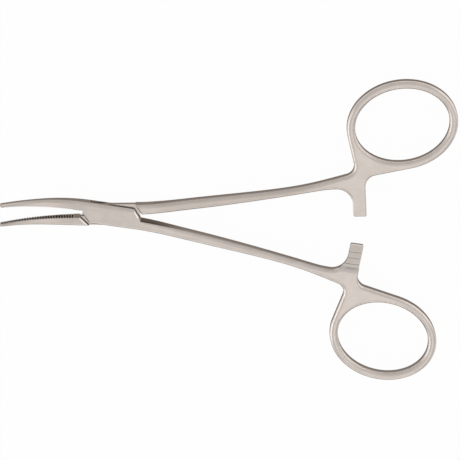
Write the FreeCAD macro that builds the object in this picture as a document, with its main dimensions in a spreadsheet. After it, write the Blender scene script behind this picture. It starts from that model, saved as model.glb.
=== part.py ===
"""Curved hemostat forceps with a box lock, finger rings and a ratchet.

Three forged and machined pieces: the box half, whose lock end is a slotted box, the tongue half,
which passes through that slot, and the pivot pin, riveted and ground flush with the box.
Each half is drawn in its own closed frame: X runs along the closed instrument to the rings, Y is the
direction in which the halves open, Z is the thickness, and the origin is on the pivot at mid thickness.
Each piece's Placement then opens the half and stands the box's back face on Z = 0.
"""
import FreeCAD, Part
import math
import os
from FreeCAD import Vector, Rotation, Placement

os.makedirs("parts", exist_ok=True)
doc = FreeCAD.newDocument("hemostat_forceps")
sheet = doc.addObject("Spreadsheet::Sheet", "sizes")

SIZES = [
    # opening of the instrument as it lies
    ("half_opening_angle", 4.5),
    # box lock
    ("box_thickness", 4.0),
    ("box_half_width", 3.0),
    ("box_rear_reach", 9.5),
    ("box_front_reach", 7.3),
    ("tongue_thickness", 1.4),
    ("slide_clearance", 0.04),
    ("swing_clearance", 0.1),
    ("slot_front_radius", 5.9),
    ("slot_rear_radius", 7.4),
    ("crotch_radius", 0.55),
    ("crotch_setback", 7.2),
    ("plate_front_angle", 45.0),
    ("plate_rear_angle", 55.0),
    ("shoulder_gap", 0.6),
    ("lock_bevel", 0.3),
    ("pin_radius", 1.25),
    ("pin_head_radius", 1.6),
    ("pin_head_depth", 0.4),
    ("bore_clearance", 0.03),
    ("body_rounding", 1.05),
    ("shank_root_rounding", 0.5),
    # jaws
    ("jaw_reach", 29.25),
    ("jaw_tip_width", 0.74),
    ("jaw_tip_thickness", 1.7),
    ("jaw_tip_turn", 30.5),
    ("jaw_bend_start", 5.0),
    ("jaw_root_blend_radius", 30.0),
    ("jaw_root_taper", 5.0),
    ("jaw_shoulder_radius", 115.0),
    ("jaw_root_gap", 0.38),
    ("jaw_tip_gap", 0.05),
    ("jaw_tip_rounding", 0.5),
    ("jaw_edge_rounding", 0.5),
    ("jaw_edge_tip_rounding", 0.2),
    ("serration_pitch", 0.75),
    ("serration_depth", 0.3),
    ("serration_land", 0.1),
    ("serration_start", 9.6),
    # shanks
    ("shank_thickness", 3.3),
    ("shank_taper_end", 24.0),
    ("shank_root_gap", 0.2),
    ("shank_inner_start_slope", 0.05),
    ("shank_outer_start_slope", 0.02),
    ("shank_near_station", 22.0),
    ("shank_near_offset", 2.62),
    ("shank_near_width", 2.87),
    ("shank_mid_station", 41.0),
    ("shank_mid_offset", 4.76),
    ("shank_mid_width", 2.4),
    ("shank_far_station", 57.95),
    ("shank_far_offset", 7.36),
    ("shank_far_width", 2.35),
    # finger rings
    ("ring_station", 82.0),
    ("ring_offset", 25.2),
    ("ring_hole_half_length", 13.05),
    ("ring_hole_half_width", 10.43),
    ("ring_tilt", 9.5),
    ("ring_wire_width", 2.3),
    # neck and ratchet
    ("neck_corner_station", 69.3),
    ("neck_corner_offset", 11.5),
    ("neck_corner_radius", 2.8),
    ("ratchet_front_station", 68.3),
    ("ratchet_width", 3.65),
    ("ratchet_lean", 2.4),
    ("ratchet_root_offset", 6.8),
    ("ratchet_reach", 1.1),
    ("ratchet_front_fillet", 4.5),
    ("ratchet_rear_fillet", 3.2),
    ("web_offset", 10.2),
    ("ratchet_gap", 0.05),
    ("ratchet_tooth_height", 0.45),
    ("ratchet_tooth_pitch", 1.8),
    ("ratchet_first_crest", 1.08),
    ("ratchet_tooth_count", 3),
    ("ratchet_edge_rounding", 0.45),
    ("ratchet_last_step", 0.3),
    ("ratchet_run_out", 2.6),
    # how far cutting bodies run past the metal
    ("tool_overrun", 1.0),
]
for row, (alias, value) in enumerate(SIZES, start=1):
    sheet.set("A%d" % row, alias.replace("_", " "))
    sheet.set("B%d" % row, str(value))
    sheet.setAlias("B%d" % row, alias)
doc.recompute()

TOUCH = 1e-4
SMOOTH = 0.999
SLENDER = ("ring_wire_width", "shank_near_width", "shank_mid_width", "shank_far_width")
LARGEST_SHARE = 0.45
MOSTLY = 0.9
PARTLY = 0.5
GROOVE_OVERRUN = 0.02


def size(alias):
    """The value of one named size."""
    return float(sheet.get(alias))


def bind(obj, **formulas):
    """Bind properties of an object to formulas of the named sizes."""
    for prop, formula in formulas.items():
        obj.setExpression(prop, formula)


def unit(angle):
    """The unit vector at an angle, in degrees, in the plan."""
    return Vector(math.cos(math.radians(angle)), math.sin(math.radians(angle)), 0)


def fillet_arc(before, corner, after, radius):
    """The arc of a given radius that rounds a corner, with its two tangent points."""
    u = (before - corner).normalize()
    v = (after - corner).normalize()
    half = u.getAngle(v) / 2
    start = corner + u * (radius / math.tan(half))
    end = corner + v * (radius / math.tan(half))
    middle = corner + (u + v).normalize() * (radius / math.sin(half) - radius)
    return start, Part.Arc(start, middle, end).toShape(), end


def line(a, b):
    return Part.LineSegment(a, b).toShape()


def feature(name, shape):
    """A piece of stock whose outline has to be worked out point by point."""
    obj = doc.addObject("Part::Feature", name)
    obj.Shape = shape
    return obj


def extrusion(name, base, direction, **formulas):
    """A solid drawn out of an outline, to both sides of it."""
    obj = doc.addObject("Part::Extrusion", name)
    obj.Base = base
    obj.DirMode = "Custom"
    obj.Dir = direction
    obj.Solid = True
    bind(obj, **formulas)
    return obj


def boolean(kind, name, base, tool):
    obj = doc.addObject("Part::" + kind, name)
    obj.Base = base
    obj.Tool = tool
    return obj


class Ring:
    """The finger ring's oval: a hole of the given half axes in a wire of even width."""

    def __init__(self):
        self.centre = Vector(size("ring_station"), size("ring_offset"), 0)
        self.long = unit(size("ring_tilt"))
        self.short = unit(size("ring_tilt") + 90)
        self.half_length = size("ring_hole_half_length")
        self.half_width = size("ring_hole_half_width")
        self.wire = size("ring_wire_width")

    def ellipse(self, growth):
        a = self.half_length + growth
        b = self.half_width + growth
        return Part.Ellipse(self.centre + self.long * a, self.centre + self.short * b, self.centre)

    def tangent_point(self, point, side):
        """Where the line from an outer point touches the oval's outside, on its left or right hand."""
        a = self.half_length + self.wire
        b = self.half_width + self.wire
        d = point - self.centre
        x = d.dot(self.long) / a
        y = d.dot(self.short) / b
        turn = math.atan2(y, x) + side * math.acos(1 / math.hypot(x, y))
        return self.centre + self.long * (a * math.cos(turn)) + self.short * (b * math.sin(turn))


def shank_side(sign):
    """Three points along the shank's outer (+1) or inner (-1) side."""
    points = []
    for place in ("near", "mid", "far"):
        x = size("shank_%s_station" % place)
        y = size("shank_%s_offset" % place) + sign * size("shank_%s_width" % place) / 2
        points.append(Vector(x, y, 0))
    return points


def bar_point(across, offset):
    """A point of the leaning ratchet bar, on its front (0) or rear (1) side, at an offset in Y."""
    lean = math.tan(math.radians(size("ratchet_lean")))
    root = size("ratchet_front_station") + across * size("ratchet_width")
    return Vector(root + lean * (size("ratchet_root_offset") - offset), offset, 0)


def spline(points, start_direction, end_direction):
    curve = Part.BSplineCurve()
    curve.interpolate(Points=points, InitialTangent=start_direction, FinalTangent=end_direction)
    return curve.toShape()


def half_plan():
    """The outline of a whole half with its lock end still a plain block, ring towards +Y."""
    w = size("box_half_width")
    rear = size("box_rear_reach")
    front = size("box_front_reach")
    tip = size("jaw_reach") + size("jaw_tip_thickness")
    # jaw: mating side and back, whose taper runs tangent into the box's side
    mate_tip = Vector(-tip, -size("jaw_tip_gap"), 0)
    mate_root = Vector(-front, -size("jaw_root_gap"), 0)
    back_tip = mate_tip - Vector(0, size("jaw_tip_width"), 0)
    shoulder = Vector(-size("jaw_bend_start"), -w, 0)
    centre = shoulder + Vector(0, size("jaw_shoulder_radius"), 0)
    d = back_tip - centre
    radius = size("jaw_shoulder_radius")
    turn = math.atan2(d.y, d.x) + math.acos(radius / math.hypot(d.x, d.y))
    back_end = centre + Vector(math.cos(turn), math.sin(turn), 0) * radius
    middle = centre + Vector(math.cos(turn / 2 - math.pi / 4), math.sin(turn / 2 - math.pi / 4), 0) * radius
    # shank, neck and ratchet
    ring = Ring()
    neck = Vector(size("neck_corner_station"), size("neck_corner_offset"), 0)
    neck_touch = ring.tangent_point(neck, -1)
    outer = shank_side(1)
    inner = shank_side(-1)
    outer_run = (neck - outer[-1]).normalize()
    neck_in, neck_arc, neck_out = fillet_arc(outer[-1], neck, neck_touch, size("neck_corner_radius"))
    root = bar_point(0, size("ratchet_root_offset"))
    bar_corner = bar_point(0, -size("ratchet_reach"))
    bar_heel = bar_point(1, -size("ratchet_reach"))
    web = bar_point(1, size("web_offset"))
    web_touch = ring.tangent_point(web, 1)
    rear_in, rear_arc, rear_out = fillet_arc(web_touch, web, bar_heel, size("ratchet_rear_fillet"))
    ahead = Vector(size("shank_far_station"), root.y, 0)
    front_in, front_arc, front_out = fillet_arc(bar_corner, root, ahead, size("ratchet_front_fillet"))
    inner_start = Vector(rear, size("shank_root_gap"), 0)
    plate_run = (w + size("shank_root_gap")) / math.tan(math.radians(size("plate_rear_angle")))
    plate_corner = Vector(rear - plate_run, -w, 0)
    outer_start = Vector(rear, w, 0)
    oval = ring.ellipse(ring.wire)
    oval_arc = Part.ArcOfEllipse(oval, oval.parameter(web_touch), oval.parameter(neck_touch)).toShape()
    edges = [
        line(mate_root, mate_tip),
        line(mate_tip, back_tip),
        line(back_tip, back_end),
        Part.Arc(back_end, middle, shoulder).toShape(),
        line(shoulder, plate_corner),
        line(plate_corner, inner_start),
        spline([inner_start] + inner + [front_out], Vector(1, size("shank_inner_start_slope"), 0),
               Vector(1, 0, 0)),
        front_arc,
        line(front_in, bar_corner),
        line(bar_corner, bar_heel),
        line(bar_heel, rear_out),
        rear_arc,
        line(rear_in, web_touch),
        oval_arc,
        line(neck_touch, neck_out),
        neck_arc,
        spline([outer_start] + outer + [neck_in], Vector(1, size("shank_outer_start_slope"), 0), outer_run),
        line(outer_start, Vector(-front, w, 0)),
        line(Vector(-front, w, 0), mate_root),
    ]
    outside = Part.Wire(Part.__sortEdges__(edges))
    hole = Part.Wire([ring.ellipse(0).toShape()])
    return Part.makeFace([outside, hole], "Part::FaceMakerBullseye")


def tangent_arc(start, direction, end):
    """The arc that leaves a point in a direction and reaches another point, with its end direction."""
    chord = end - start
    d = direction.normalize()
    turn = math.atan2(d.x * chord.z - d.z * chord.x, d.x * chord.x + d.z * chord.z)
    radius = chord.Length / (2 * math.sin(turn))
    normal = Vector(-d.z, 0, d.x)
    centre = start + normal * radius
    middle = centre + rotated(start - centre, turn)
    return Part.Arc(start, middle, end).toShape(), rotated(d, 2 * turn)


def rotated(v, angle):
    """A vector of the side view turned by an angle in radians."""
    c = math.cos(angle)
    s = math.sin(angle)
    return Vector(v.x * c - v.z * s, 0, v.x * s + v.z * c)


def half_side():
    """The side view of a half: jaws bent out of the plane of opening, box, thinner shank and ring."""
    top = size("box_thickness") / 2
    low = size("shank_thickness") / 2
    bend = -size("jaw_bend_start")
    turn = math.radians(size("jaw_tip_turn"))
    across = Vector(math.sin(turn), 0, math.cos(turn)) * (size("jaw_tip_thickness") / 2)
    radius = (size("jaw_reach") - size("jaw_bend_start")) / math.sin(turn)
    tip = Vector(-size("jaw_reach"), 0, radius * (1 - math.cos(turn)))
    blend = size("jaw_root_blend_radius")
    taper = math.radians(size("jaw_root_taper"))
    run = blend * math.sin(taper)
    drop = blend * (1 - math.cos(taper))
    rear = size("box_rear_reach")
    settle = size("shank_taper_end")
    end = size("ring_station") + size("ring_hole_half_length") + 2 * size("ring_wire_width")
    edges = []
    for sign in (1, -1):
        start = Vector(bend, 0, sign * top)
        blended = Vector(bend - run, 0, sign * (top - drop))
        arc, heading = tangent_arc(start, Vector(-1, 0, 0), blended)
        edges.append(arc)
        edges.append(tangent_arc(blended, heading, tip + across * sign)[0])
        edges.append(line(start, Vector(rear, 0, sign * top)))
        waist = Vector((rear + settle) / 2, 0, sign * (top + low) / 2)
        edges.append(tangent_arc(Vector(rear, 0, sign * top), Vector(1, 0, 0), waist)[0])
        edges.append(tangent_arc(Vector(settle, 0, sign * low), Vector(-1, 0, 0), waist)[0])
        edges.append(line(Vector(settle, 0, sign * low), Vector(end, 0, sign * low)))
    edges.append(line(tip + across, tip - across))
    edges.append(line(Vector(end, 0, low), Vector(end, 0, -low)))
    return Part.makeFace([Part.Wire(Part.__sortEdges__(edges))], "Part::FaceMakerBullseye")


plan = feature("half_plan", half_plan())
side = feature("half_side", half_side())
plate = extrusion("plan_stock", plan, Vector(0, 0, 1), LengthFwd="sizes.jaw_reach",
                  LengthRev="sizes.box_thickness")
slab = extrusion("side_stock", side, Vector(0, 1, 0), LengthFwd="2 * sizes.ring_offset",
                 LengthRev="2 * sizes.box_half_width")
blank = boolean("Common", "blank", plate, slab)
doc.recompute()


def rounding_at(p):
    """How far the long edges are rounded at a point of them."""
    narrowest = min(size(alias) for alias in SLENDER)
    full = min(size("body_rounding"), LARGEST_SHARE * narrowest)
    if p.x < -size("jaw_bend_start"):
        share = (-p.x - size("jaw_bend_start")) / (size("jaw_reach") - size("jaw_bend_start"))
        mating = -size("jaw_root_gap") - TOUCH < p.y < 0
        first = size("jaw_edge_rounding") if mating else full
        last = size("jaw_edge_tip_rounding") if mating else size("jaw_tip_rounding")
        return first + (last - first) * min(1, share)
    behind_front = p.x > bar_point(0, p.y).x - TOUCH
    before_rear = p.x < bar_point(1, p.y).x + TOUCH
    if behind_front and before_rear and p.y < (size("ratchet_root_offset") + size("web_offset")) / 2:
        return size("ratchet_edge_rounding")
    settle = size("shank_taper_end")
    if p.x < settle and p.y < size("box_half_width") / 2 and p.y > 0:
        share = (settle - p.x) / (settle - size("box_rear_reach"))
        return full + (size("shank_root_rounding") - full) * share
    return full


def chained(ends):
    """Edges with the rounding at both their ends, every smooth run of them taken in one direction."""
    found = []
    while ends:
        number = min(ends)
        first, last = ends.pop(number)
        found.append((number, rounding_at(first[0]), rounding_at(last[0])))
        for ahead, (point, heading) in ((True, last), (False, first)):
            while point is not None:
                follower = None
                for candidate, pair in ends.items():
                    for near, far in (pair, pair[::-1]):
                        touches = near[0].distanceToPoint(point) < TOUCH
                        if touches and abs(near[1].dot(heading)) > SMOOTH:
                            follower = (candidate, near, far)
                if follower is None:
                    break
                candidate, near, far = follower
                del ends[candidate]
                radii = (rounding_at(near[0]), rounding_at(far[0]))
                found.append((candidate,) + (radii if ahead else radii[::-1]))
                point, heading = far
    return found


def long_edges(shape):
    """The edges along the top and the bottom of the forging, each with its rounding at both ends."""
    ends = {}
    for number, edge in enumerate(shape.Edges, start=1):
        first, last = edge.ParameterRange
        middle = edge.valueAt((first + last) / 2)
        run = edge.tangentAt((first + last) / 2)
        straight = isinstance(edge.Curve, Part.Line)
        upright = straight and abs(run.z) > MOSTLY
        seam = straight and abs(run.y) > PARTLY and middle.x < size("shank_mid_station")
        jaw_end = middle.x < -size("jaw_reach") + size("jaw_tip_thickness") / 2
        bar_end = abs(middle.y + size("ratchet_reach")) < TOUCH and middle.x > size("box_rear_reach")
        if not (upright or seam or jaw_end or bar_end):
            ends[number] = tuple((edge.valueAt(t), edge.tangentAt(t)) for t in (first, last))
    return chained(ends)


forging = doc.addObject("Part::Fillet", "forging")
forging.Base = blank
forging.Edges = long_edges(blank.Shape)
doc.recompute()


def primitive(kind, name, place, **formulas):
    """A cylinder, cone or box, with its sizes and its place bound to the named sizes."""
    obj = doc.addObject("Part::" + kind, name)
    bind(obj, **formulas)
    for axis, formula in zip("xyz", place):
        obj.setExpression(".Placement.Base." + axis, formula)
    return obj


def turned_box(name, corner, angle, length, width):
    """A tall box across the half, standing on a corner of the plan and turned by an angle."""
    obj = primitive("Box", name, corner + ("-sizes.box_thickness",), Length=length, Width=width,
                    Height="2 * sizes.box_thickness")
    obj.setExpression(".Placement.Rotation.Angle", angle)
    return obj


def fuse(name, *shapes):
    obj = doc.addObject("Part::MultiFuse", name)
    obj.Shapes = list(shapes)
    return obj


def cylinder(name, radius, height, angle="360"):
    """A cylinder about the pivot axis, half its height to each side of the mid plane."""
    return primitive("Cylinder", name, ("0", "0", "-(%s) / 2" % height), Radius=radius, Height=height,
                     Angle=angle)


SLOT = "(sizes.tongue_thickness + 2 * sizes.slide_clearance)"
TALL = "(2 * sizes.box_thickness)"
PAST_FRONT = "(sizes.box_front_reach + sizes.tool_overrun)"
PAST_REAR = "(sizes.box_rear_reach + sizes.tool_overrun)"
SPAN = "(2 * sizes.box_half_width + 2 * sizes.tool_overrun)"
REACH = "(2 * (sizes.box_front_reach + sizes.box_rear_reach))"

# pivot pin: shaft with a countersunk riveted head at each face of the box
shaft = cylinder("pin_shaft", "sizes.pin_radius", "sizes.box_thickness")
upper_head = primitive("Cone", "pin_upper_head",
                       ("0", "0", "sizes.box_thickness / 2 - sizes.pin_head_depth"),
                       Radius1="sizes.pin_radius", Radius2="sizes.pin_head_radius",
                       Height="sizes.pin_head_depth")
lower_head = primitive("Cone", "pin_lower_head", ("0", "0", "-sizes.box_thickness / 2"),
                       Radius1="sizes.pin_head_radius", Radius2="sizes.pin_radius",
                       Height="sizes.pin_head_depth")
pin = fuse("pivot_pin", shaft, upper_head, lower_head)
pin_seat = fuse("pin_seat", shaft, upper_head, lower_head)

# slot through the box: two round ends, open where the other half's jaw and shank leave it
slot_front = cylinder("slot_front_end", "sizes.slot_front_radius", SLOT)
slot_rear = cylinder("slot_rear_end", "sizes.slot_rear_radius", SLOT, "180")
slot_rear.setExpression(".Placement.Rotation.Angle", "-90")
slot_jaw_side = primitive("Box", "slot_jaw_side",
                          ("-" + PAST_FRONT, "sizes.jaw_root_gap - sizes.swing_clearance",
                           "-%s / 2" % SLOT),
                          Length=PAST_FRONT, Width="sizes.box_half_width", Height=SLOT)
slot_shank_side = primitive("Box", "slot_shank_side",
                            ("0", "-sizes.shank_root_gap + sizes.swing_clearance - %s / 2" % SPAN,
                             "-%s / 2" % SLOT),
                            Length=PAST_REAR, Width="%s / 2" % SPAN, Height=SLOT)
slot = fuse("slot", slot_front, slot_rear, slot_jaw_side, slot_shank_side)
front_corner = turned_box("box_front_corner", ("-sizes.crotch_setback", "0"), "sizes.plate_front_angle",
                          SPAN, SPAN)
crotch = primitive("Cylinder", "crotch", ("-sizes.crotch_setback", "0", "-sizes.box_thickness"),
                   Radius="sizes.crotch_radius", Height=TALL)

# tongue: the faces between the two shoulders, and its round ends
FRONT_SIN = "sin(sizes.plate_front_angle * 1deg)"
FRONT_COS = "cos(sizes.plate_front_angle * 1deg)"
REAR_SIN = "sin(sizes.plate_rear_angle * 1deg)"
REAR_COS = "cos(sizes.plate_rear_angle * 1deg)"
SHOULDER_X = "-sizes.crotch_setback - sizes.shoulder_gap * %s - %s * %s" % (FRONT_SIN, SPAN, FRONT_COS)
SHOULDER_Y = "-sizes.shoulder_gap * %s + %s * %s" % (FRONT_COS, SPAN, FRONT_SIN)
HEEL_X = "sizes.box_rear_reach + sizes.shoulder_gap * %s + %s * %s" % (REAR_SIN, SPAN, REAR_COS)
HEEL_Y = "-sizes.shank_root_gap + sizes.shoulder_gap * %s - %s * %s" % (REAR_COS, SPAN, REAR_SIN)
front_shoulder = turned_box("front_shoulder", (SHOULDER_X, SHOULDER_Y), "-sizes.plate_front_angle",
                            REACH, REACH)
rear_shoulder = turned_box("rear_shoulder", (HEEL_X, HEEL_Y), "180 - sizes.plate_rear_angle",
                           REACH, REACH)


def bar_end_edges(shape):
    """The edges round the flat end of the ratchet bar."""
    radius = size("ratchet_edge_rounding")
    found = []
    for number, edge in enumerate(shape.Edges, start=1):
        first, last = edge.ParameterRange
        middle = edge.valueAt((first + last) / 2)
        if abs(middle.y + size("ratchet_reach")) < TOUCH and middle.x > size("box_rear_reach"):
            found.append((number, radius, radius))
    return found


finished = doc.addObject("Part::Fillet", "finished_forging")
finished.Base = forging
finished.Edges = bar_end_edges(forging.Shape)

shoulders = boolean("Common", "shoulders", front_shoulder, rear_shoulder)
tongue_slab = primitive("Box", "tongue_slab",
                        ("-%s" % REACH, "-%s" % REACH, "-sizes.tongue_thickness / 2"),
                        Length="2 * " + REACH, Width="2 * " + REACH, Height="sizes.tongue_thickness")
beside_tongue = boolean("Cut", "beside_tongue", shoulders, tongue_slab)
front_stock = primitive("Box", "tongue_front_stock",
                        ("-" + PAST_FRONT, "-sizes.jaw_root_gap", "-%s / 2" % TALL),
                        Length=PAST_FRONT, Width=SPAN, Height=TALL)
front_round = cylinder("tongue_front_round", "sizes.slot_front_radius - sizes.swing_clearance", TALL)
front_waste = boolean("Cut", "tongue_front_waste", front_stock, front_round)
rear_stock = primitive("Box", "tongue_rear_stock",
                       ("0", "sizes.shank_root_gap - " + SPAN, "-%s / 2" % TALL),
                       Length=PAST_REAR, Width=SPAN, Height=TALL)
rear_round = cylinder("tongue_rear_round", "sizes.slot_rear_radius - sizes.swing_clearance", TALL)
rear_waste = boolean("Cut", "tongue_rear_waste", rear_stock, rear_round)
bore = cylinder("tongue_bore", "sizes.pin_radius + sizes.bore_clearance", TALL)


def serrations(lead):
    """V grooves square across a jaw's mating face, following its bend; lead is in pitches."""
    turn = math.radians(size("jaw_tip_turn"))
    bend = size("jaw_bend_start")
    radius = (size("jaw_reach") - bend) / math.sin(turn)
    pitch = size("serration_pitch")
    depth = size("serration_depth")
    half_width = (pitch - size("serration_land")) / 2
    half_length = size("box_thickness") / 2 + depth
    mate_slope = (size("jaw_root_gap") - size("jaw_tip_gap")) / (
        size("jaw_reach") + size("jaw_tip_thickness") - size("box_front_reach"))
    angle = math.asin((size("serration_start") - bend) / radius) + lead * pitch / radius
    grooves = []
    while angle < turn - half_width / radius:
        along = Vector(-math.cos(angle), 0, math.sin(angle))
        across = Vector(math.sin(angle), 0, math.cos(angle))
        middle = Vector(-bend - radius * math.sin(angle), 0, radius * (1 - math.cos(angle)))
        middle.y = -size("jaw_root_gap") - mate_slope * (middle.x + size("box_front_reach"))
        foot = middle - across * half_length
        over = 1 + GROOVE_OVERRUN / depth
        corners = [
            foot - along * (half_width * over) + Vector(0, GROOVE_OVERRUN, 0),
            foot + along * (half_width * over) + Vector(0, GROOVE_OVERRUN, 0),
            foot - Vector(0, depth, 0),
        ]
        face = Part.Face(Part.makePolygon(corners + corners[:1]))
        grooves.append(face.extrude(across * (2 * half_length)))
        angle += pitch / radius
    return Part.makeCompound(grooves)


def bevels(walls):
    """Prisms that take the front and back edges off upright walls of the lock, metal on their left."""
    depth = size("lock_bevel")
    reach = 2 * (size("box_half_width") + size("tool_overrun"))
    level = size("box_thickness") / 2
    profile = (
        (depth + GROOVE_OVERRUN, level + GROOVE_OVERRUN),
        (-GROOVE_OVERRUN, level - depth - GROOVE_OVERRUN),
        (-GROOVE_OVERRUN, level + GROOVE_OVERRUN),
    )
    prisms = []
    for foot, angle, beyond in walls:
        run = unit(angle)
        start = foot - run * reach
        for up in (1, -1):
            corners = [start + unit(angle + 90) * across + Vector(0, 0, up * height)
                       for across, height in profile]
            face = Part.Face(Part.makePolygon(corners + corners[:1]))
            prisms.append(face.extrude(run * (reach * (1 + beyond))))
    return Part.makeCompound(prisms)


def box_bevels():
    """The box's bevels: its front diagonals, back to the crotch, and its rear ones, up to the shank."""
    crotch_point = Vector(-size("crotch_setback"), 0, 0)
    rear = size("plate_rear_angle")
    root_point = Vector(size("box_rear_reach"), size("shank_root_gap"), 0)
    rear_point = root_point - unit(rear) * (2 * size("shank_root_rounding"))
    return bevels([(crotch_point, 180 + size("plate_front_angle"), 0), (rear_point, rear, 0)])


def tongue_bevels():
    """The bevels of the shoulders, which stand off the box's diagonals by the shoulder gap."""
    front = size("plate_front_angle")
    rear = size("plate_rear_angle")
    front_point = Vector(-size("crotch_setback"), 0, 0) - unit(90 - front) * size("shoulder_gap")
    rear_point = Vector(size("box_rear_reach"), -size("shank_root_gap"), 0) + unit(90 - rear) * size(
        "shoulder_gap")
    return bevels([(front_point, 180 - front, 1), (rear_point, -rear, 1)])


def ratchet_waste():
    """The side view, across the half, of what is milled off one side of the ratchet bar."""
    clear = size("ratchet_tooth_height") / 2 + size("ratchet_gap")
    top = size("ratchet_tooth_height") / 2
    pitch = size("ratchet_tooth_pitch")
    crest = size("ratchet_first_crest")
    low = -size("box_thickness")
    skin = -size("shank_thickness") / 2 - size("ratchet_gap")
    end = -size("ratchet_reach") - size("tool_overrun")
    profile = [Vector(0, end, low), Vector(0, end, clear), Vector(0, crest - pitch, clear)]
    for tooth in range(int(size("ratchet_tooth_count"))):
        profile.append(Vector(0, crest, -top))
        profile.append(Vector(0, crest, top))
        crest += pitch
    crest -= pitch
    profile[-1] = Vector(0, crest, -top + size("ratchet_last_step"))
    edges = [line(a, b) for a, b in zip(profile, profile[1:])]
    foot = Vector(0, crest + size("ratchet_run_out"), skin)
    level = Vector(0, 1, 0)
    edges.append(spline([profile[-1], foot], level, level))
    edges.append(line(foot, Vector(0, foot.y, low)))
    edges.append(line(Vector(0, foot.y, low), profile[0]))
    return Part.makeFace([Part.Wire(Part.__sortEdges__(edges))], "Part::FaceMakerBullseye")


ratchet_face = feature("ratchet_waste_outline", ratchet_waste())
milled = extrusion("ratchet_waste", ratchet_face, Vector(1, 0, 0),
                   LengthFwd="sizes.ratchet_front_station + sizes.ratchet_width + sizes.ratchet_rear_fillet",
                   LengthRev="-(sizes.ratchet_front_station - sizes.ratchet_front_fillet)")
half_turn = doc.addObject("Part::Mirroring", "ratchet_waste_of_box_half")
half_turn.Source = milled
half_turn.Normal = Vector(0, 0, 1)


def cut_all(name, base, tools):
    """Take several bodies away from a base, one after the other."""
    for count, tool in enumerate(tools, start=1):
        base = boolean("Cut", "%s_%d" % (name, count), base, tool)
    return base


box_canonical = cut_all("box_stage", finished, [
    fuse("box_waste", slot, front_corner, crotch), feature("box_bevels", box_bevels()), pin_seat, half_turn,
    feature("box_serrations", serrations(0.5))])
tongue_half = cut_all("tongue_stage", finished, [
    beside_tongue, feature("tongue_bevels", tongue_bevels()),
    fuse("tongue_waste", front_waste, rear_waste, bore), milled,
    feature("tongue_serrations", serrations(0))])
box_half = doc.addObject("Part::Mirroring", "box_half")
box_half.Source = box_canonical
box_half.Normal = Vector(0, 1, 0)

SUB_PARTS = [
    (box_half, "box_half", "-sizes.half_opening_angle"),
    (tongue_half, "tongue_half", "sizes.half_opening_angle"),
    (pin, "pivot_pin", "-sizes.half_opening_angle"),
]
for obj, label, angle in SUB_PARTS:
    obj.Label = label
    obj.setExpression(".Placement.Rotation.Angle", angle)
    obj.setExpression(".Placement.Base.z", "sizes.box_thickness / 2")
doc.recompute()

for obj in doc.Objects:
    if "Invalid" in obj.State or "Error" in obj.State:
        raise RuntimeError("%s did not build" % obj.Label)
for obj, label, angle in SUB_PARTS:
    if obj.Shape.isNull() or not obj.Shape.isValid():
        raise RuntimeError("%s has no sound shape" % label)
for obj, label, angle in SUB_PARTS:
    obj.Shape.exportStep("parts/%s.step" % label)
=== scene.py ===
"""Satin steel finish, studio and camera for curved hemostat forceps with a box lock."""
import math
from functools import reduce
from types import SimpleNamespace

import bpy
from mathutils import Matrix, Vector


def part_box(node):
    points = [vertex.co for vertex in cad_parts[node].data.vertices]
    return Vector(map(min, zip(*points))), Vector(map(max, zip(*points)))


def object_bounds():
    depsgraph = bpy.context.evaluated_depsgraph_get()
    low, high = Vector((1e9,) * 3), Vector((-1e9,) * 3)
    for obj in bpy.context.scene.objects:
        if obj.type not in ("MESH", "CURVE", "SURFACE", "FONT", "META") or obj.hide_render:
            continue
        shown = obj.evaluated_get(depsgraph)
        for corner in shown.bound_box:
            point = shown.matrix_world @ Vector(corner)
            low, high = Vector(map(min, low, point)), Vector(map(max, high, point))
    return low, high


bl_info = {
    "name": "Forceps Finish",
    "version": (1, 0, 0),
    "blender": (4, 5, 0),
    "location": "3D View > Sidebar > Forceps",
    "description": "Finishes the steel of hemostat forceps and sets up the studio around them",
    "category": "Material",
}

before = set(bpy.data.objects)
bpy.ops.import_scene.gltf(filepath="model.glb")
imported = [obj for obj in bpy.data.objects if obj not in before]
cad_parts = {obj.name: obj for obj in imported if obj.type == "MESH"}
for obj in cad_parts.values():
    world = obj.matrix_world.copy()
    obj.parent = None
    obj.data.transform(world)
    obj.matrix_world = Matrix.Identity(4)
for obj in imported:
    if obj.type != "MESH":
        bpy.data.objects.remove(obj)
CAD_BOX = [list(corner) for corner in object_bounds()]
MM = 0.001

# Edges of areas on a half: each pair runs from where an effect starts to where it is full.
# Along the half, in millimetres from the pivot, with the ring at the positive end
DIMMED_JAW = (-8.0, -13.0)
TOOTHED_JAW = (-9.2, -9.6)
FRONT_SHOULDER = ((-9.6, -9.3), (-3.6, -4.0))
REAR_PLATE_END = ((3.0, 4.0), (10.2, 9.8))
CROTCH = ((7.0, 9.0), (24.0, 11.0))
DIMMED_SHANK = ((12.0, 16.0), (62.0, 50.0))
NEAR_LOCK = (14.0, 11.0)
HANDLE = (62.0, 68.0)
RATCHET_BAR = (64.0, 66.0)
# Across the half, in millimetres from the closed centre line towards the ring
TOOTH_ROW = (5.6, 5.2)
TOOTH_RUN_OUT = ((4.7, 5.6), (7.0, 6.2))
# Round the pivot and round the middle of the ring, in millimetres
OFF_PIN = (2.0, 2.4)
ON_RING = (17.5, 14.5)

# Edges of directions, as the share of the surface's normal that points a given way
BEVEL = (0.20, 0.35)
RATCHET_FACE = (0.10, 0.30)
BITE_FACE = (0.40, 0.60)
CROTCH_SIDE = (-0.60, -0.90)
# Where the tops end and the painted shade on the upright sides begins, and where the lower sides get more
# of it
FLAT_TOP = (0.28, 0.68)
FLAT_HANDLE_TOP = (0.20, 0.48)
LOWER_SIDE = (-0.25, -0.45)
LOWER_ROUNDING = (0.88, 0.66)

# How open the surface is to its surroundings, from 0 in a deep corner to 1 in the open: painted shade in
# crevices and grooves grows as it closes
CREVICE = (0.95, 0.70)
GROOVE = (0.99, 0.85)
# How much painted shade the jaws' bite faces get, from the open surface to deep in the grooves
GROOVE_SHADE_DEPTHS = (0.45, 1.0)
# How far the surface still faces as its rounded neighbourhood does: less than 1 at an edge
EDGE = (0.98, 0.88)

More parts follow.
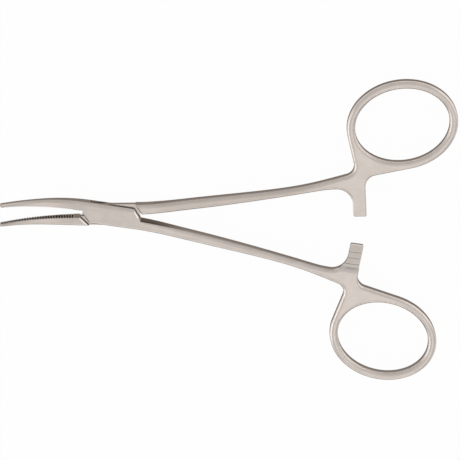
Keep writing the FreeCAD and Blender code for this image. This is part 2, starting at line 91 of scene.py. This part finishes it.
# Scale per millimetre, detail and roughness of the patterns in the steel
BRUSHING = (1.0, 5.0, 0.62)
BLOTCHES = (0.35, 3.0)
SPECKS = (4.5, 2.0)

# Strength of each effect on the steel's colour, roughness and relief. The tones are shares of its
# colour where brushing and blotches leave it dull and bright.
BRUSHING_SHARE = 0.6
TONES = (0.93, 1.04)
TONE_EDGES = (0.35, 0.65)
# A warmer, darker blotched tone on the jaws and the tongue half's shank
DIMMING_LEAST = 0.10
DIMMING_SWING = 0.16
# Painted shade on the lower sides
LOWER_SIDE_SHADE = 0.75
# Painted shade in corners, weaker off the ratchet's tooth row
CORNER_SHADE_OFF_TEETH = 0.75
# Painted shade in the crotch
CROTCH_SHADE = 0.7
# Edge wear and painted highlights, weaker off the jaws' bite faces
WEAR_AND_HIGHLIGHT_OFF_BITE = 0.6
ROUGHNESS_SWING = 0.18
WORN_SMOOTHNESS = 0.08
SPECK_HEIGHT = 0.5
RELIEF = 0.12
EDGE_SAMPLES = 6
CREVICE_SAMPLES = 8

# Studio and camera, with the picture's side in pixels and the sensor's width in millimetres
FLOOR_GAP = 0.2 * MM
SKY_RISE = (0.0, 0.9)
IMAGE_SIDE = 460
SENSOR_WIDTH = 36
CLIP_START, CLIP_END = 0.01, 20
LOCK_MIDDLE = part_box("pivot_pin")[1].z / 2

# Place, point aimed at, width and height in metres, and power in watts of each lamp
LAMPS = {
    "left_softbox": ((-0.75, -0.28, 0.30), (0.05, 0, 0), (0.80, 0.45), 1.5),
    "right_softbox": ((0.80, 0.42, 0.26), (0.05, 0, 0), (0.90, 0.40), 0.9),
    "front_softbox": ((0.10, -0.80, 0.25), (0.08, 0, 0), (0.90, 0.35), 0.65),
    "overhead_softbox": ((0.30, -0.32, 0.80), (0.08, 0, 0), (0.60, 0.50), 0.35),
}


class SteelSettings(bpy.types.PropertyGroup):
    """Colours and sizes of the steel's finish, with its painted shade and painted highlights."""

    colour: bpy.props.FloatVectorProperty(
        name="Steel colour", description="Colour of the satin steel",
        subtype="COLOR", size=3, min=0, max=1, default=(0.77, 0.703, 0.655))
    # Painted shade in corners, between ratchet teeth and in the crotch
    corner_shade_colour: bpy.props.FloatVectorProperty(
        name="Crevice colour", description="Colour in corners, between ratchet teeth and in the crotch",
        subtype="COLOR", size=3, min=0, max=1, default=(0.09, 0.075, 0.068))
    # Painted shade laid on the upright sides
    side_shade_colour: bpy.props.FloatVectorProperty(
        name="Flank colour", description="Colour of the duller upright sides",
        subtype="COLOR", size=3, min=0, max=1, default=(0.30, 0.262, 0.238))
    # Painted shade inside the cross grooves of the jaws
    groove_shade_colour: bpy.props.FloatVectorProperty(
        name="Groove colour", description="Colour inside the cross grooves of the jaws",
        subtype="COLOR", size=3, min=0, max=1, default=(0.05, 0.042, 0.037))
    glancing_colour: bpy.props.FloatVectorProperty(
        name="Glancing colour", description="Tint of what the steel mirrors at a glancing angle",
        subtype="COLOR", size=3, min=0, max=1, default=(0.40, 0.35, 0.31))
    # A warmer, darker tone on the jaws and the upper shank
    dimming_colour: bpy.props.FloatVectorProperty(
        name="Tarnish colour", description="Colour of the warm stain on the jaws and the upper shank",
        subtype="COLOR", size=3, min=0, max=1, default=(0.45, 0.36, 0.29))
    # Bright wear along edges, and painted highlights on the lock's bevels and the ratchet's run-out
    worn_and_highlit_colour: bpy.props.FloatVectorProperty(
        name="Worn colour", description="Colour of edges worn bright",
        subtype="COLOR", size=3, min=0, max=1, default=(0.96, 0.93, 0.90))
    roughness: bpy.props.FloatProperty(
        name="Roughness", description="Mean roughness of the satin finish",
        subtype="FACTOR", min=0, max=1, default=0.36)
    grain_length: bpy.props.FloatProperty(
        name="Grain length", description="Length of the brushing marks",
        subtype="DISTANCE", unit="LENGTH", min=0.0001, max=0.05, default=0.007)
    grain_width: bpy.props.FloatProperty(
        name="Grain width", description="Width of the brushing marks",
        subtype="DISTANCE", unit="LENGTH", min=0.00001, max=0.005, default=0.00022)
    grain_depth: bpy.props.FloatProperty(
        name="Grain depth", description="How deep the brushing marks are",
        subtype="DISTANCE", unit="LENGTH", min=0, max=0.001, default=0.000012)
    # Reach of the painted shade in crevices
    crevice_reach: bpy.props.FloatProperty(
        name="Crevice reach", description="How far from a corner the darkening of a crevice reaches",
        subtype="DISTANCE", unit="LENGTH", min=0, max=0.01, default=0.00035)
    edge_wear: bpy.props.FloatProperty(
        name="Edge wear", description="Width of the bright wear along sharp edges",
        subtype="DISTANCE", unit="LENGTH", min=0, max=0.005, default=0.00018)
    ring_station: bpy.props.FloatProperty(
        name="Ring station", description="Distance of the ring's centre from the pivot, along the half",
        subtype="DISTANCE", unit="LENGTH", default=0.082)
    ring_offset: bpy.props.FloatProperty(
        name="Ring offset", description="Distance of the ring's centre from the closed centre line",
        subtype="DISTANCE", unit="LENGTH", default=0.0252)
    ring_radius: bpy.props.FloatProperty(
        name="Ring radius", description="Mean radius of the ring's wire",
        subtype="DISTANCE", unit="LENGTH", default=0.0126)
    half_opening: bpy.props.FloatProperty(
        name="Half opening", description="How far each half is turned from the centre line",
        subtype="ANGLE", unit="ROTATION", default=math.radians(4.5))


class StudioSettings(bpy.types.PropertyGroup):
    """Floor, lamps and the photographer's standpoint."""

    floor_colour: bpy.props.FloatVectorProperty(
        name="Floor colour", description="Colour of the plain floor",
        subtype="COLOR", size=3, min=0, max=1, default=(0.9, 0.9, 0.89))
    floor_side: bpy.props.FloatProperty(
        name="Floor side", description="Side of the square floor",
        subtype="DISTANCE", unit="LENGTH", min=0.1, default=6.0)
    floor_white: bpy.props.FloatProperty(
        name="Floor white", description="Share of plain white in the floor as it is seen and mirrored",
        subtype="FACTOR", min=0, max=1, default=0.97)
    sky_colour: bpy.props.FloatVectorProperty(
        name="Room colour", description="Colour of the light that the room gives",
        subtype="COLOR", size=3, min=0, max=1, default=(1.0, 0.985, 0.97))
    sky_low: bpy.props.FloatProperty(
        name="Light near the floor", description="Strength of the room's light near the horizon",
        min=0, default=0.50)
    sky_high: bpy.props.FloatProperty(
        name="Light overhead", description="Strength of the room's light overhead",
        min=0, default=0.66)
    camera_distance: bpy.props.FloatProperty(
        name="Camera distance", description="Distance of the camera from the plane through the pivot",
        subtype="DISTANCE", unit="LENGTH", default=0.7010)
    camera_lens: bpy.props.FloatProperty(
        name="Lens", description="Focal length, in millimetres",
        subtype="DISTANCE_CAMERA", default=196.8)
    camera_tilt: bpy.props.FloatProperty(
        name="Tilt", description="How far the view leans from straight above, along the picture's height",
        subtype="ANGLE", unit="ROTATION", default=math.radians(20.0))
    camera_lean: bpy.props.FloatProperty(
        name="Side lean", description="How far the view leans towards the jaws",
        subtype="ANGLE", unit="ROTATION", default=math.radians(-0.737))
    camera_roll: bpy.props.FloatProperty(
        name="Roll", description="How far the centre line slopes down to the right in the picture",
        subtype="ANGLE", unit="ROTATION", default=math.radians(3.92))
    pivot_in_picture: bpy.props.FloatVectorProperty(
        name="Pivot in picture", description="Pixel at which the pivot is seen",
        size=2, default=(107.05, 213.75))


def add(tree, kind, **settings):
    """A node of a tree; settings name its properties, or its inputs by their names with underscores."""
    node = tree.nodes.new(kind)
    for name, value in settings.items():
        wanted = name.replace("_", " ").lower()
        sockets = [s for s in node.inputs if s.name.lower() == wanted and s.enabled]
        if sockets:
            put(tree, sockets[0], value)
        else:
            setattr(node, name, value)
    return node


def put(tree, socket, value):
    """A link or a plain value into a socket."""
    if isinstance(value, bpy.types.NodeSocket):
        tree.links.new(value, socket)
    elif isinstance(value, bpy.types.Node):
        tree.links.new(value.outputs[0], socket)
    else:
        socket.default_value = value


def calc(tree, operation, a, b=0.0, c=None):
    """One step of arithmetic in a node tree."""
    node = tree.nodes.new("ShaderNodeMath")
    node.operation = operation
    put(tree, node.inputs[0], a)
    put(tree, node.inputs[1], b)
    if c is not None:
        put(tree, node.inputs[2], c)
    return node.outputs[0]


def product(tree, *values):
    """Values multiplied with one another."""
    return reduce(lambda a, b: calc(tree, "MULTIPLY", a, b), values)


def largest(tree, *values):
    """The largest of several values."""
    return reduce(lambda a, b: calc(tree, "MAXIMUM", a, b), values)


def without(tree, value, taken):
    """A value, less the share of it that another one takes."""
    return product(tree, value, calc(tree, "SUBTRACT", 1.0, taken))


def distance(tree, x, y):
    """Distance from the origin of a plane."""
    return calc(tree, "SQRT", calc(tree, "ADD", product(tree, x, x), product(tree, y, y)))


def span(tree, value, low, high, to_low=0.0, to_high=1.0):
    """A value brought smoothly from one range to another."""
    node = tree.nodes.new("ShaderNodeMapRange")
    node.interpolation_type = "SMOOTHSTEP"
    put(tree, node.inputs["Value"], value)
    for name, number in (("From Min", low), ("From Max", high), ("To Min", to_low), ("To Max", to_high)):
        put(tree, node.inputs[name], number)
    return node.outputs[0]


def within(tree, value, *edges):
    """How far a value lies inside all of its edges."""
    return product(tree, *(span(tree, value, *edge) for edge in edges))


def noise(tree, vector, scale, detail, roughness=0.5):
    """A cloudy pattern between 0 and 1."""
    return add(tree, "ShaderNodeTexNoise", vector=vector, scale=scale, detail=detail,
               roughness=roughness).outputs["Fac"]


def blend(tree, share, a, b):
    """A colour between two others."""
    node = tree.nodes.new("ShaderNodeMix")
    node.data_type = "RGBA"
    put(tree, node.inputs[0], share)
    for socket, colour in ((node.inputs[6], a), (node.inputs[7], b)):
        put(tree, socket, colour if isinstance(colour, bpy.types.NodeSocket) else (*colour, 1))
    return node.outputs[2]


def new_material(name):
    """An empty material and its node tree."""
    material = bpy.data.materials.new(name)
    material.use_nodes = True
    material.node_tree.nodes.clear()
    return material, material.node_tree


def show(tree, shader, kind="ShaderNodeOutputMaterial"):
    """Link a shader to the output of its tree."""
    tree.links.new(shader.outputs[0], tree.nodes.new(kind).inputs["Surface"])


def read_surface(tree, turn, side):
    """Where a half's surface lies when closed, in millimetres, and which way it faces.

    The half was opened by turn. Its ring lies on the side of y that side gives, which is 1 for the
    tongue half and -1 for the box half. The tongue half's ratchet faces down and the other's up.
    """
    coordinates = tree.nodes.new("ShaderNodeTexCoord")
    point = add(tree, "ShaderNodeMapping", vector_type="POINT", vector=coordinates.outputs["Object"],
                rotation=(0, 0, -turn), scale=(1 / MM, 1 / MM, 1 / MM))
    x, y, _ = add(tree, "ShaderNodeSeparateXYZ", vector=point).outputs
    normal = add(tree, "ShaderNodeSeparateXYZ", vector=coordinates.outputs["Normal"])
    normal_x, normal_y, normal_z = normal.outputs
    return SimpleNamespace(
        point=point.outputs[0], along=x, across=product(tree, y, side), from_pivot=distance(tree, x, y),
        normal_x=normal_x, normal_y=normal_y, normal_z=normal_z,
        flatness=calc(tree, "ABSOLUTE", normal_z),
        ringward=product(tree, normal_y, side), mateward=product(tree, normal_z, -side))


def grain_pattern(tree, point, settings, side):
    """Brushing marks: along the half on jaws, box and shank, and round the wire on the ring."""
    length, width = settings.grain_length / MM, settings.grain_width / MM
    x, y, z = add(tree, "ShaderNodeSeparateXYZ", vector=point).outputs
    depth = calc(tree, "DIVIDE", z, width)
    straight = add(tree, "ShaderNodeCombineXYZ", x=calc(tree, "DIVIDE", x, length),
                   y=calc(tree, "DIVIDE", y, width), z=depth)
    ring_x = calc(tree, "SUBTRACT", x, settings.ring_station / MM)
    ring_y = calc(tree, "SUBTRACT", y, side * settings.ring_offset / MM)
    radius = distance(tree, ring_x, ring_y)
    turn = calc(tree, "ARCTAN2", ring_y, ring_x)
    around = add(tree, "ShaderNodeCombineXYZ", x=product(tree, turn, settings.ring_radius / MM / length),
                 y=calc(tree, "DIVIDE", radius, width), z=depth)
    on_ring = span(tree, radius, *ON_RING)
    return calc(tree, "ADD", without(tree, noise(tree, straight, *BRUSHING), on_ring),
                product(tree, noise(tree, around, *BRUSHING), on_ring))


def bevel_highlight_mask(tree, at):
    """Painted highlight on the lock's bevels: the tongue half's front shoulder and the rear ends of the
    box's plates.
    """
    sloped = span(tree, at.normal_x, *BEVEL)
    front = product(tree, within(tree, at.along, *FRONT_SHOULDER), sloped)
    rear = product(tree, within(tree, at.along, *REAR_PLATE_END), sloped,
                   span(tree, at.normal_z, *BEVEL))
    return largest(tree, front, rear)


def ratchet_masks(tree, at):
    """The ratchet's tooth row, where the painted shade in corners is full, and the run-out of its cut,
    which gets a painted highlight.
    """
    milled = product(tree, span(tree, at.along, *RATCHET_BAR), span(tree, at.mateward, *RATCHET_FACE))
    return (product(tree, milled, span(tree, at.across, *TOOTH_ROW)),
            product(tree, milled, within(tree, at.across, *TOOTH_RUN_OUT)))


def edge_mask(tree, settings):
    """Sharp edges, where the surface faces another way than it does once rounded."""
    surface = tree.nodes.new("ShaderNodeNewGeometry")
    rounded = add(tree, "ShaderNodeBevel", samples=EDGE_SAMPLES, radius=settings.edge_wear)
    facing = add(tree, "ShaderNodeVectorMath", operation="DOT_PRODUCT")
    put(tree, facing.inputs[0], surface.outputs["Normal"])
    put(tree, facing.inputs[1], rounded)
    return span(tree, facing.outputs["Value"], *EDGE)


def dimming_mask(tree, at, blotch, side):
    """A blotched warmer, darker tone: on both jaws, and on the tongue half's shank."""
    dimming = span(tree, at.along, *DIMMED_JAW)
    if side > 0:
        dimming = calc(tree, "ADD", dimming, within(tree, at.along, *DIMMED_SHANK))
    return product(tree, dimming, calc(tree, "MULTIPLY_ADD", blotch, DIMMING_SWING, DIMMING_LEAST))


def side_shade_mask(tree, at):
    """Painted shade on the upright sides: darkest where they face down the picture, none near the lock
    where they face along the half.
    """
    top = span(tree, at.flatness, *FLAT_TOP)
    handle = product(tree, span(tree, at.along, *HANDLE), span(tree, at.flatness, *FLAT_HANDLE_TOP))
    near_lock = span(tree, calc(tree, "ABSOLUTE", at.along), *NEAR_LOCK)
    lock_ends = product(tree, near_lock, calc(tree, "ABSOLUTE", at.normal_x))
    bright = largest(tree, top, handle, lock_ends)
    lower = product(tree, span(tree, at.normal_y, *LOWER_SIDE), span(tree, at.flatness, *LOWER_ROUNDING))
    return calc(tree, "SUBTRACT", 1.0, without(tree, bright, product(tree, lower, LOWER_SIDE_SHADE)))


def satin_steel(name, settings, turn, side):
    """Satin stainless steel: brushed, with bright wear at edges, a warmer darker tone on the jaws and one
    shank, painted shade on its sides, in crevices, in the crotch and in the grooves, and painted
    highlights on the lock's bevels and the ratchet's run-out.
    """
    material, tree = new_material(name)
    at = read_surface(tree, turn, side)
    grain = grain_pattern(tree, at.point, settings, side)
    blotch = noise(tree, at.point, *BLOTCHES)
    speck = noise(tree, at.point, *SPECKS)
    openness = add(tree, "ShaderNodeAmbientOcclusion", samples=CREVICE_SAMPLES,
                   distance=settings.crevice_reach).outputs["AO"]

    off_pin = span(tree, at.from_pivot, *OFF_PIN)
    bevels = bevel_highlight_mask(tree, at)
    teeth, run_out_highlight = ratchet_masks(tree, at)
    bite = product(tree, span(tree, at.along, *TOOTHED_JAW), span(tree, at.ringward, *BITE_FACE))
    # Painted shade in corners, kept off the pivot and the bevels
    crevice = without(tree, product(tree, off_pin, span(tree, openness, *CREVICE)), bevels)
    worn_and_highlit = without(tree, product(tree, off_pin, edge_mask(tree, settings)), crevice)
    # Painted highlights on the lock's bevels and the ratchet's run-out join the edge wear
    worn_and_highlit = largest(tree, worn_and_highlit, bevels, run_out_highlight)

    # The painted shade in corners is full in the ratchet's tooth row
    darkness = calc(tree, "MULTIPLY_ADD", teeth, 1 - CORNER_SHADE_OFF_TEETH, CORNER_SHADE_OFF_TEETH)
    corner_shade = product(tree, crevice, darkness)
    # Painted shade on the crotch's walls that face away from the ring
    crotch_shade = product(tree, within(tree, at.along, *CROTCH), span(tree, at.ringward, *CROTCH_SIDE),
                        CROTCH_SHADE)
    # Painted shade over the jaws' bite faces, deepest in the cross grooves
    groove_shade = product(tree, bite, span(tree, openness, *GROOVE, *GROOVE_SHADE_DEPTHS))
    worn_and_highlit_share = product(tree, worn_and_highlit, calc(tree, "MULTIPLY_ADD", bite, 1 - WEAR_AND_HIGHLIGHT_OFF_BITE, WEAR_AND_HIGHLIGHT_OFF_BITE))
    shade = calc(tree, "ADD", product(tree, grain, BRUSHING_SHARE),
                 product(tree, blotch, 1 - BRUSHING_SHARE))
    dull, bright = ([min(1.0, tone * part) for part in settings.colour] for tone in TONES)
    colour = blend(tree, span(tree, shade, *TONE_EDGES), dull, bright)
    layers = (
        # A warmer, darker blotched tone
        (dimming_mask(tree, at, blotch, side), settings.dimming_colour),
        # Painted shade on the upright sides
        (side_shade_mask(tree, at), settings.side_shade_colour),
        # Painted shade in corners
        (corner_shade, settings.corner_shade_colour),
        # Painted shade in the crotch
        (crotch_shade, settings.corner_shade_colour),
        # Painted shade in the grooves
        (groove_shade, settings.groove_shade_colour),
        # Edge wear and painted highlights
        (worn_and_highlit_share, settings.worn_and_highlit_colour),
    )
    for share, tint in layers:
        colour = blend(tree, share, colour, tint)

    rough = calc(tree, "MULTIPLY_ADD", grain, ROUGHNESS_SWING, settings.roughness - ROUGHNESS_SWING / 2)
    rough = calc(tree, "SUBTRACT", rough, product(tree, worn_and_highlit, WORN_SMOOTHNESS))
    height = calc(tree, "ADD", grain, product(tree, speck, SPECK_HEIGHT))
    bump = add(tree, "ShaderNodeBump", strength=RELIEF, distance=settings.grain_depth, height=height)
    show(tree, add(tree, "ShaderNodeBsdfPrincipled", base_color=colour, roughness=rough, metallic=1.0,
                   specular_tint=(*settings.glancing_colour, 1), normal=bump))
    return material


def dress(node, material):
    """Put a material on every slot of a CAD node."""
    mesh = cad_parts[node].data
    for index in range(len(mesh.materials)):
        mesh.materials[index] = material


class FORCEPS_OT_finish_box_half(bpy.types.Operator):
    """Give the half with the slotted box its satin steel"""

    bl_idname = "forceps.finish_box_half"
    bl_label = "Finish Box Half"

    def execute(self, context):
        steel = context.scene.forceps_steel
        dress("box_half", satin_steel("box_half_steel", steel, -steel.half_opening, -1))
        return {"FINISHED"}


class FORCEPS_OT_finish_tongue_half(bpy.types.Operator):
    """Give the half with the tongue its satin steel"""

    bl_idname = "forceps.finish_tongue_half"
    bl_label = "Finish Tongue Half"

    def execute(self, context):
        steel = context.scene.forceps_steel
        dress("tongue_half", satin_steel("tongue_half_steel", steel, steel.half_opening, 1))
        return {"FINISHED"}


class FORCEPS_OT_finish_pin(bpy.types.Operator):
    """Give the riveted pivot pin the steel of the box it is ground flush with"""

    bl_idname = "forceps.finish_pin"
    bl_label = "Finish Pivot Pin"

    def execute(self, context):
        steel = context.scene.forceps_steel
        dress("pivot_pin", satin_steel("pivot_pin_steel", steel, -steel.half_opening, -1))
        return {"FINISHED"}


def lay_floor(scene, studio):
    """A pale floor just below the forceps, plain white where it is seen or mirrored."""
    half = studio.floor_side / 2
    low = CAD_BOX[0][2] - FLOOR_GAP
    mesh = bpy.data.meshes.new("floor")
    corners = [(-half, -half, low), (half, -half, low), (half, half, low), (-half, half, low)]
    mesh.from_pydata(corners, [], [(0, 1, 2, 3)])
    floor = bpy.data.objects.new("floor", mesh)
    scene.collection.objects.link(floor)
    material, tree = new_material("pale_floor")
    rays = tree.nodes.new("ShaderNodeLightPath")
    kinds = ("Camera", "Glossy", "Transmission")
    seen = largest(tree, *(rays.outputs[f"Is {kind} Ray"] for kind in kinds))
    mix = tree.nodes.new("ShaderNodeMixShader")
    put(tree, mix.inputs[0], product(tree, seen, studio.floor_white))
    put(tree, mix.inputs[1], add(tree, "ShaderNodeBsdfDiffuse", color=(*studio.floor_colour, 1)))
    put(tree, mix.inputs[2], add(tree, "ShaderNodeEmission", color=(1, 1, 1, 1), strength=1.0))
    show(tree, mix)
    mesh.materials.append(material)


def light_room(scene, studio):
    """The room's soft light, stronger overhead than near the floor."""
    world = bpy.data.worlds.new("studio_room")
    scene.world = world
    world.use_nodes = True
    tree = world.node_tree
    tree.nodes.clear()
    place = tree.nodes.new("ShaderNodeTexCoord")
    height = add(tree, "ShaderNodeSeparateXYZ", vector=place.outputs["Generated"]).outputs[2]
    strength = span(tree, height, *SKY_RISE, studio.sky_low, studio.sky_high)
    sky = add(tree, "ShaderNodeBackground", color=(*studio.sky_colour, 1), strength=strength)
    show(tree, sky, "ShaderNodeOutputWorld")


def hang_lamp(scene, name, place, target, sides, power):
    """A rectangular lamp at a place, aimed at a point."""
    light = bpy.data.lights.new(name, "AREA")
    light.shape = "RECTANGLE"
    light.size, light.size_y = sides
    light.energy = power
    lamp = bpy.data.objects.new(name, light)
    lamp.location = place
    lamp.rotation_euler = (Vector(target) - Vector(place)).to_track_quat("-Z", "Y").to_euler()
    scene.collection.objects.link(lamp)


class FORCEPS_OT_build_studio(bpy.types.Operator):
    """Build the pale floor, the lamps and the room's light"""

    bl_idname = "forceps.build_studio"
    bl_label = "Build Studio"

    def execute(self, context):
        scene = context.scene
        lay_floor(scene, scene.forceps_studio)
        light_room(scene, scene.forceps_studio)
        for name, (place, target, sides, power) in LAMPS.items():
            hang_lamp(scene, name, place, target, sides, power)
        scene.view_settings.view_transform = "Standard"
        return {"FINISHED"}


class FORCEPS_OT_set_camera(bpy.types.Operator):
    """Set the camera at the photographer's standpoint"""

    bl_idname = "forceps.set_camera"
    bl_label = "Set Camera"

    def execute(self, context):
        studio = context.scene.forceps_studio
        tilt, lean, roll = studio.camera_tilt, studio.camera_lean, studio.camera_roll
        # The camera's own directions are right, down and away from it.
        level = Vector((math.cos(lean), 0, math.sin(lean)))
        plumb = Vector((-math.sin(tilt) * math.sin(lean), math.cos(tilt),
                        math.sin(tilt) * math.cos(lean)))
        frame_x = level * math.cos(roll) + plumb * math.sin(roll)
        frame_y = level * math.sin(roll) - plumb * math.cos(roll)
        to_frame = Matrix((frame_x, frame_y, frame_x.cross(frame_y)))
        pixels_per_metre = studio.camera_lens / SENSOR_WIDTH * IMAGE_SIDE / studio.camera_distance
        offset = [(pixel - IMAGE_SIDE / 2) / pixels_per_metre for pixel in studio.pivot_in_picture]
        pivot = Vector((*offset, studio.camera_distance))
        data = bpy.data.cameras.new("photographer")
        data.sensor_width = SENSOR_WIDTH
        data.lens = studio.camera_lens
        data.clip_start = CLIP_START
        data.clip_end = CLIP_END
        camera = bpy.data.objects.new("photographer", data)
        context.scene.collection.objects.link(camera)
        turn = Matrix((to_frame.col[0], -to_frame.col[1], -to_frame.col[2])).transposed()
        place = Vector((0, 0, LOCK_MIDDLE)) - to_frame @ pivot
        camera.matrix_world = Matrix.Translation(place) @ turn.to_4x4()
        context.scene.camera = camera
        return {"FINISHED"}


class FORCEPS_PT_finish(bpy.types.Panel):
    """Panel with the steps of the finish"""

    bl_idname = "FORCEPS_PT_finish"
    bl_label = "Forceps"
    bl_space_type = "VIEW_3D"
    bl_region_type = "UI"
    bl_category = "Forceps"

    def draw(self, context):
        for group in (context.scene.forceps_steel, context.scene.forceps_studio):
            box = self.layout.box()
            for name in type(group).__annotations__:
                box.prop(group, name)
        for operator in OPERATORS:
            self.layout.operator(operator.bl_idname)


OPERATORS = (
    FORCEPS_OT_finish_box_half,
    FORCEPS_OT_finish_tongue_half,
    FORCEPS_OT_finish_pin,
    FORCEPS_OT_build_studio,
    FORCEPS_OT_set_camera,
)
CLASSES = (SteelSettings, StudioSettings, *OPERATORS, FORCEPS_PT_finish)


def register():
    for cls in CLASSES:
        bpy.utils.register_class(cls)
    bpy.types.Scene.forceps_steel = bpy.props.PointerProperty(type=SteelSettings)
    bpy.types.Scene.forceps_studio = bpy.props.PointerProperty(type=StudioSettings)


def unregister():
    del bpy.types.Scene.forceps_studio
    del bpy.types.Scene.forceps_steel
    for cls in reversed(CLASSES):
        bpy.utils.unregister_class(cls)


def main():
    register()
    bpy.ops.forceps.finish_box_half()
    bpy.ops.forceps.finish_tongue_half()
    bpy.ops.forceps.finish_pin()
    bpy.ops.forceps.build_studio()
    bpy.ops.forceps.set_camera()


if __name__ == "__main__":
    main()
